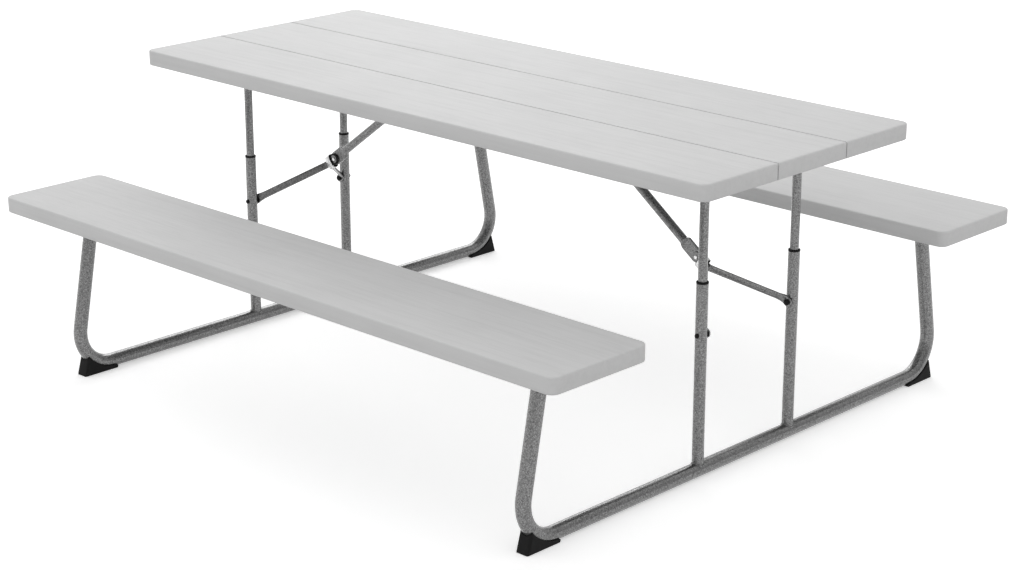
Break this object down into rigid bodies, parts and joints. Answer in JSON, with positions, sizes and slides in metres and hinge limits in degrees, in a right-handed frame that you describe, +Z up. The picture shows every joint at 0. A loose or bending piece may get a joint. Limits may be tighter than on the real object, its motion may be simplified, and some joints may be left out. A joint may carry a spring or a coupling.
{
  "type": "folding table with benches",
  "caption": "Folding table with a moulded plank top and a bench along each side, on tubular steel end frames that telescope and fold flat beneath with hinged braces.",
  "frame": {"origin": "on the floor under the middle of the table, at the bottom centre of the bounding box", "axes": "+X along the length of the table, +Y across it towards the far bench, +Z up"},
  "size_m": [1.8, 1.594, 0.73],
  "materials": {
    "plank": "pale grey moulded plastic with a faint grain",
    "frame": "grey hammered paint",
    "black_plastic": "black, slightly rough",
    "black_metal": "black coated",
    "zinc": "bright zinc"
  },
  "bodies": {
    "table": {"table_top": "plank", "pivot_clamp_left_near": "zinc", "pivot_clamp_left_far": "zinc", "pivot_clamp_right_near": "zinc", "pivot_clamp_right_far": "zinc", "brace_bracket_left": "zinc", "brace_bracket_right": "zinc"},
    "leg_left": {"pivot_tube_left": "frame", "upper_upright_left_near": "frame", "upper_upright_left_far": "frame"},
    "end_frame_left": {"base_tube_left": "frame", "lower_upright_left_near": "frame", "lower_upright_left_far": "frame", "slide_collar_left_near": "black_plastic", "slide_collar_left_far": "black_plastic", "foot_left_near": "black_plastic", "foot_left_far": "black_plastic", "arm_bolt_left_near": "black_metal", "arm_bolt_left_far": "black_metal", "cap_nut_left_near": "black_plastic", "cap_nut_left_far": "black_plastic", "bench_lug_left_near": "frame", "bench_lug_left_far": "frame"},
    "wishbone_left": {"wishbone_arm_left_near": "frame", "wishbone_arm_left_far": "frame", "knee_clip_left_near": "zinc", "knee_clip_left_far": "zinc", "knee_rivet_left_near": "zinc", "knee_rivet_left_far": "zinc"},
    "strut_left": {"upper_brace_left": "frame"},
    "leg_right": {"pivot_tube_right": "frame", "upper_upright_right_near": "frame", "upper_upright_right_far": "frame"},
    "end_frame_right": {"base_tube_right": "frame", "lower_upright_right_near": "frame", "lower_upright_right_far": "frame", "slide_collar_right_near": "black_plastic", "slide_collar_right_far": "black_plastic", "foot_right_near": "black_plastic", "foot_right_far": "black_plastic", "arm_bolt_right_near": "black_metal", "arm_bolt_right_far": "black_metal", "cap_nut_right_near": "black_plastic", "cap_nut_right_far": "black_plastic", "bench_lug_right_near": "frame", "bench_lug_right_far": "frame"},
    "wishbone_right": {"wishbone_arm_right_near": "frame", "wishbone_arm_right_far": "frame", "knee_clip_right_near": "zinc", "knee_clip_right_far": "zinc", "knee_rivet_right_near": "zinc", "knee_rivet_right_far": "zinc"},
    "strut_right": {"upper_brace_right": "frame"},
    "seat_near": {"bench_near": "plank", "bench_rail_left_near": "zinc", "bench_rail_right_near": "zinc"},
    "seat_far": {"bench_far": "plank", "bench_rail_left_far": "zinc", "bench_rail_right_far": "zinc"}
  },
  "joints": [
    {"name": "fold_left", "type": "hinge", "parent": "table", "child": "leg_left", "pos_m": [-0.7426, 0, 0.674], "axis": [0, -1, 0], "range_deg": [0, 90]},
    {"name": "telescope_left", "type": "slide", "parent": "leg_left", "child": "end_frame_left", "axis": [0, 0, 1], "range_m": [0, 0.0991]},
    {"name": "strut_swing_left", "type": "hinge", "parent": "table", "child": "strut_left", "pos_m": [-0.27575, 0, 0.674], "axis": [0, 1, 0], "range_deg": [0, 36.6]},
    {"name": "wishbone_swing_left", "type": "hinge", "parent": "end_frame_left", "child": "wishbone_left", "pos_m": [-0.7426, 0, 0.329], "axis": [0, -1, 0], "range_deg": [0, 53.6]},
    {"name": "fold_right", "type": "hinge", "parent": "table", "child": "leg_right", "pos_m": [0.7426, 0, 0.674], "axis": [0, 1, 0], "range_deg": [0, 90]},
    {"name": "telescope_right", "type": "slide", "parent": "leg_right", "child": "end_frame_right", "axis": [0, 0, 1], "range_m": [0, 0.0991]},
    {"name": "strut_swing_right", "type": "hinge", "parent": "table", "child": "strut_right", "pos_m": [0.27575, 0, 0.674], "axis": [0, -1, 0], "range_deg": [0, 36.6]},
    {"name": "wishbone_swing_right", "type": "hinge", "parent": "end_frame_right", "child": "wishbone_right", "pos_m": [0.7426, 0, 0.329], "axis": [0, 1, 0], "range_deg": [0, 53.6]},
    {"name": "seat_rise_near", "type": "slide", "parent": "table", "child": "seat_near", "axis": [0, 0, 1], "range_m": [0, 0.2891]},
    {"name": "seat_rise_far", "type": "slide", "parent": "table", "child": "seat_far", "axis": [0, 0, 1], "range_m": [0, 0.2891]}
  ],
  "couplings": [
    {"joint": "telescope_left", "follows": "fold_left", "m_per_rad": 0.063054},
    {"joint": "strut_swing_left", "follows": "fold_left", "ratio": 0.40516},
    {"joint": "wishbone_swing_left", "follows": "fold_left", "ratio": 0.59484},
    {"joint": "fold_right", "follows": "fold_left", "ratio": 1},
    {"joint": "telescope_right", "follows": "fold_left", "m_per_rad": 0.063054},
    {"joint": "strut_swing_right", "follows": "fold_left", "ratio": 0.40516},
    {"joint": "wishbone_swing_right", "follows": "fold_left", "ratio": 0.59484},
    {"joint": "seat_rise_near", "follows": "fold_left", "m_per_rad": 0.18398},
    {"joint": "seat_rise_far", "follows": "fold_left", "m_per_rad": 0.18398}
  ]
}
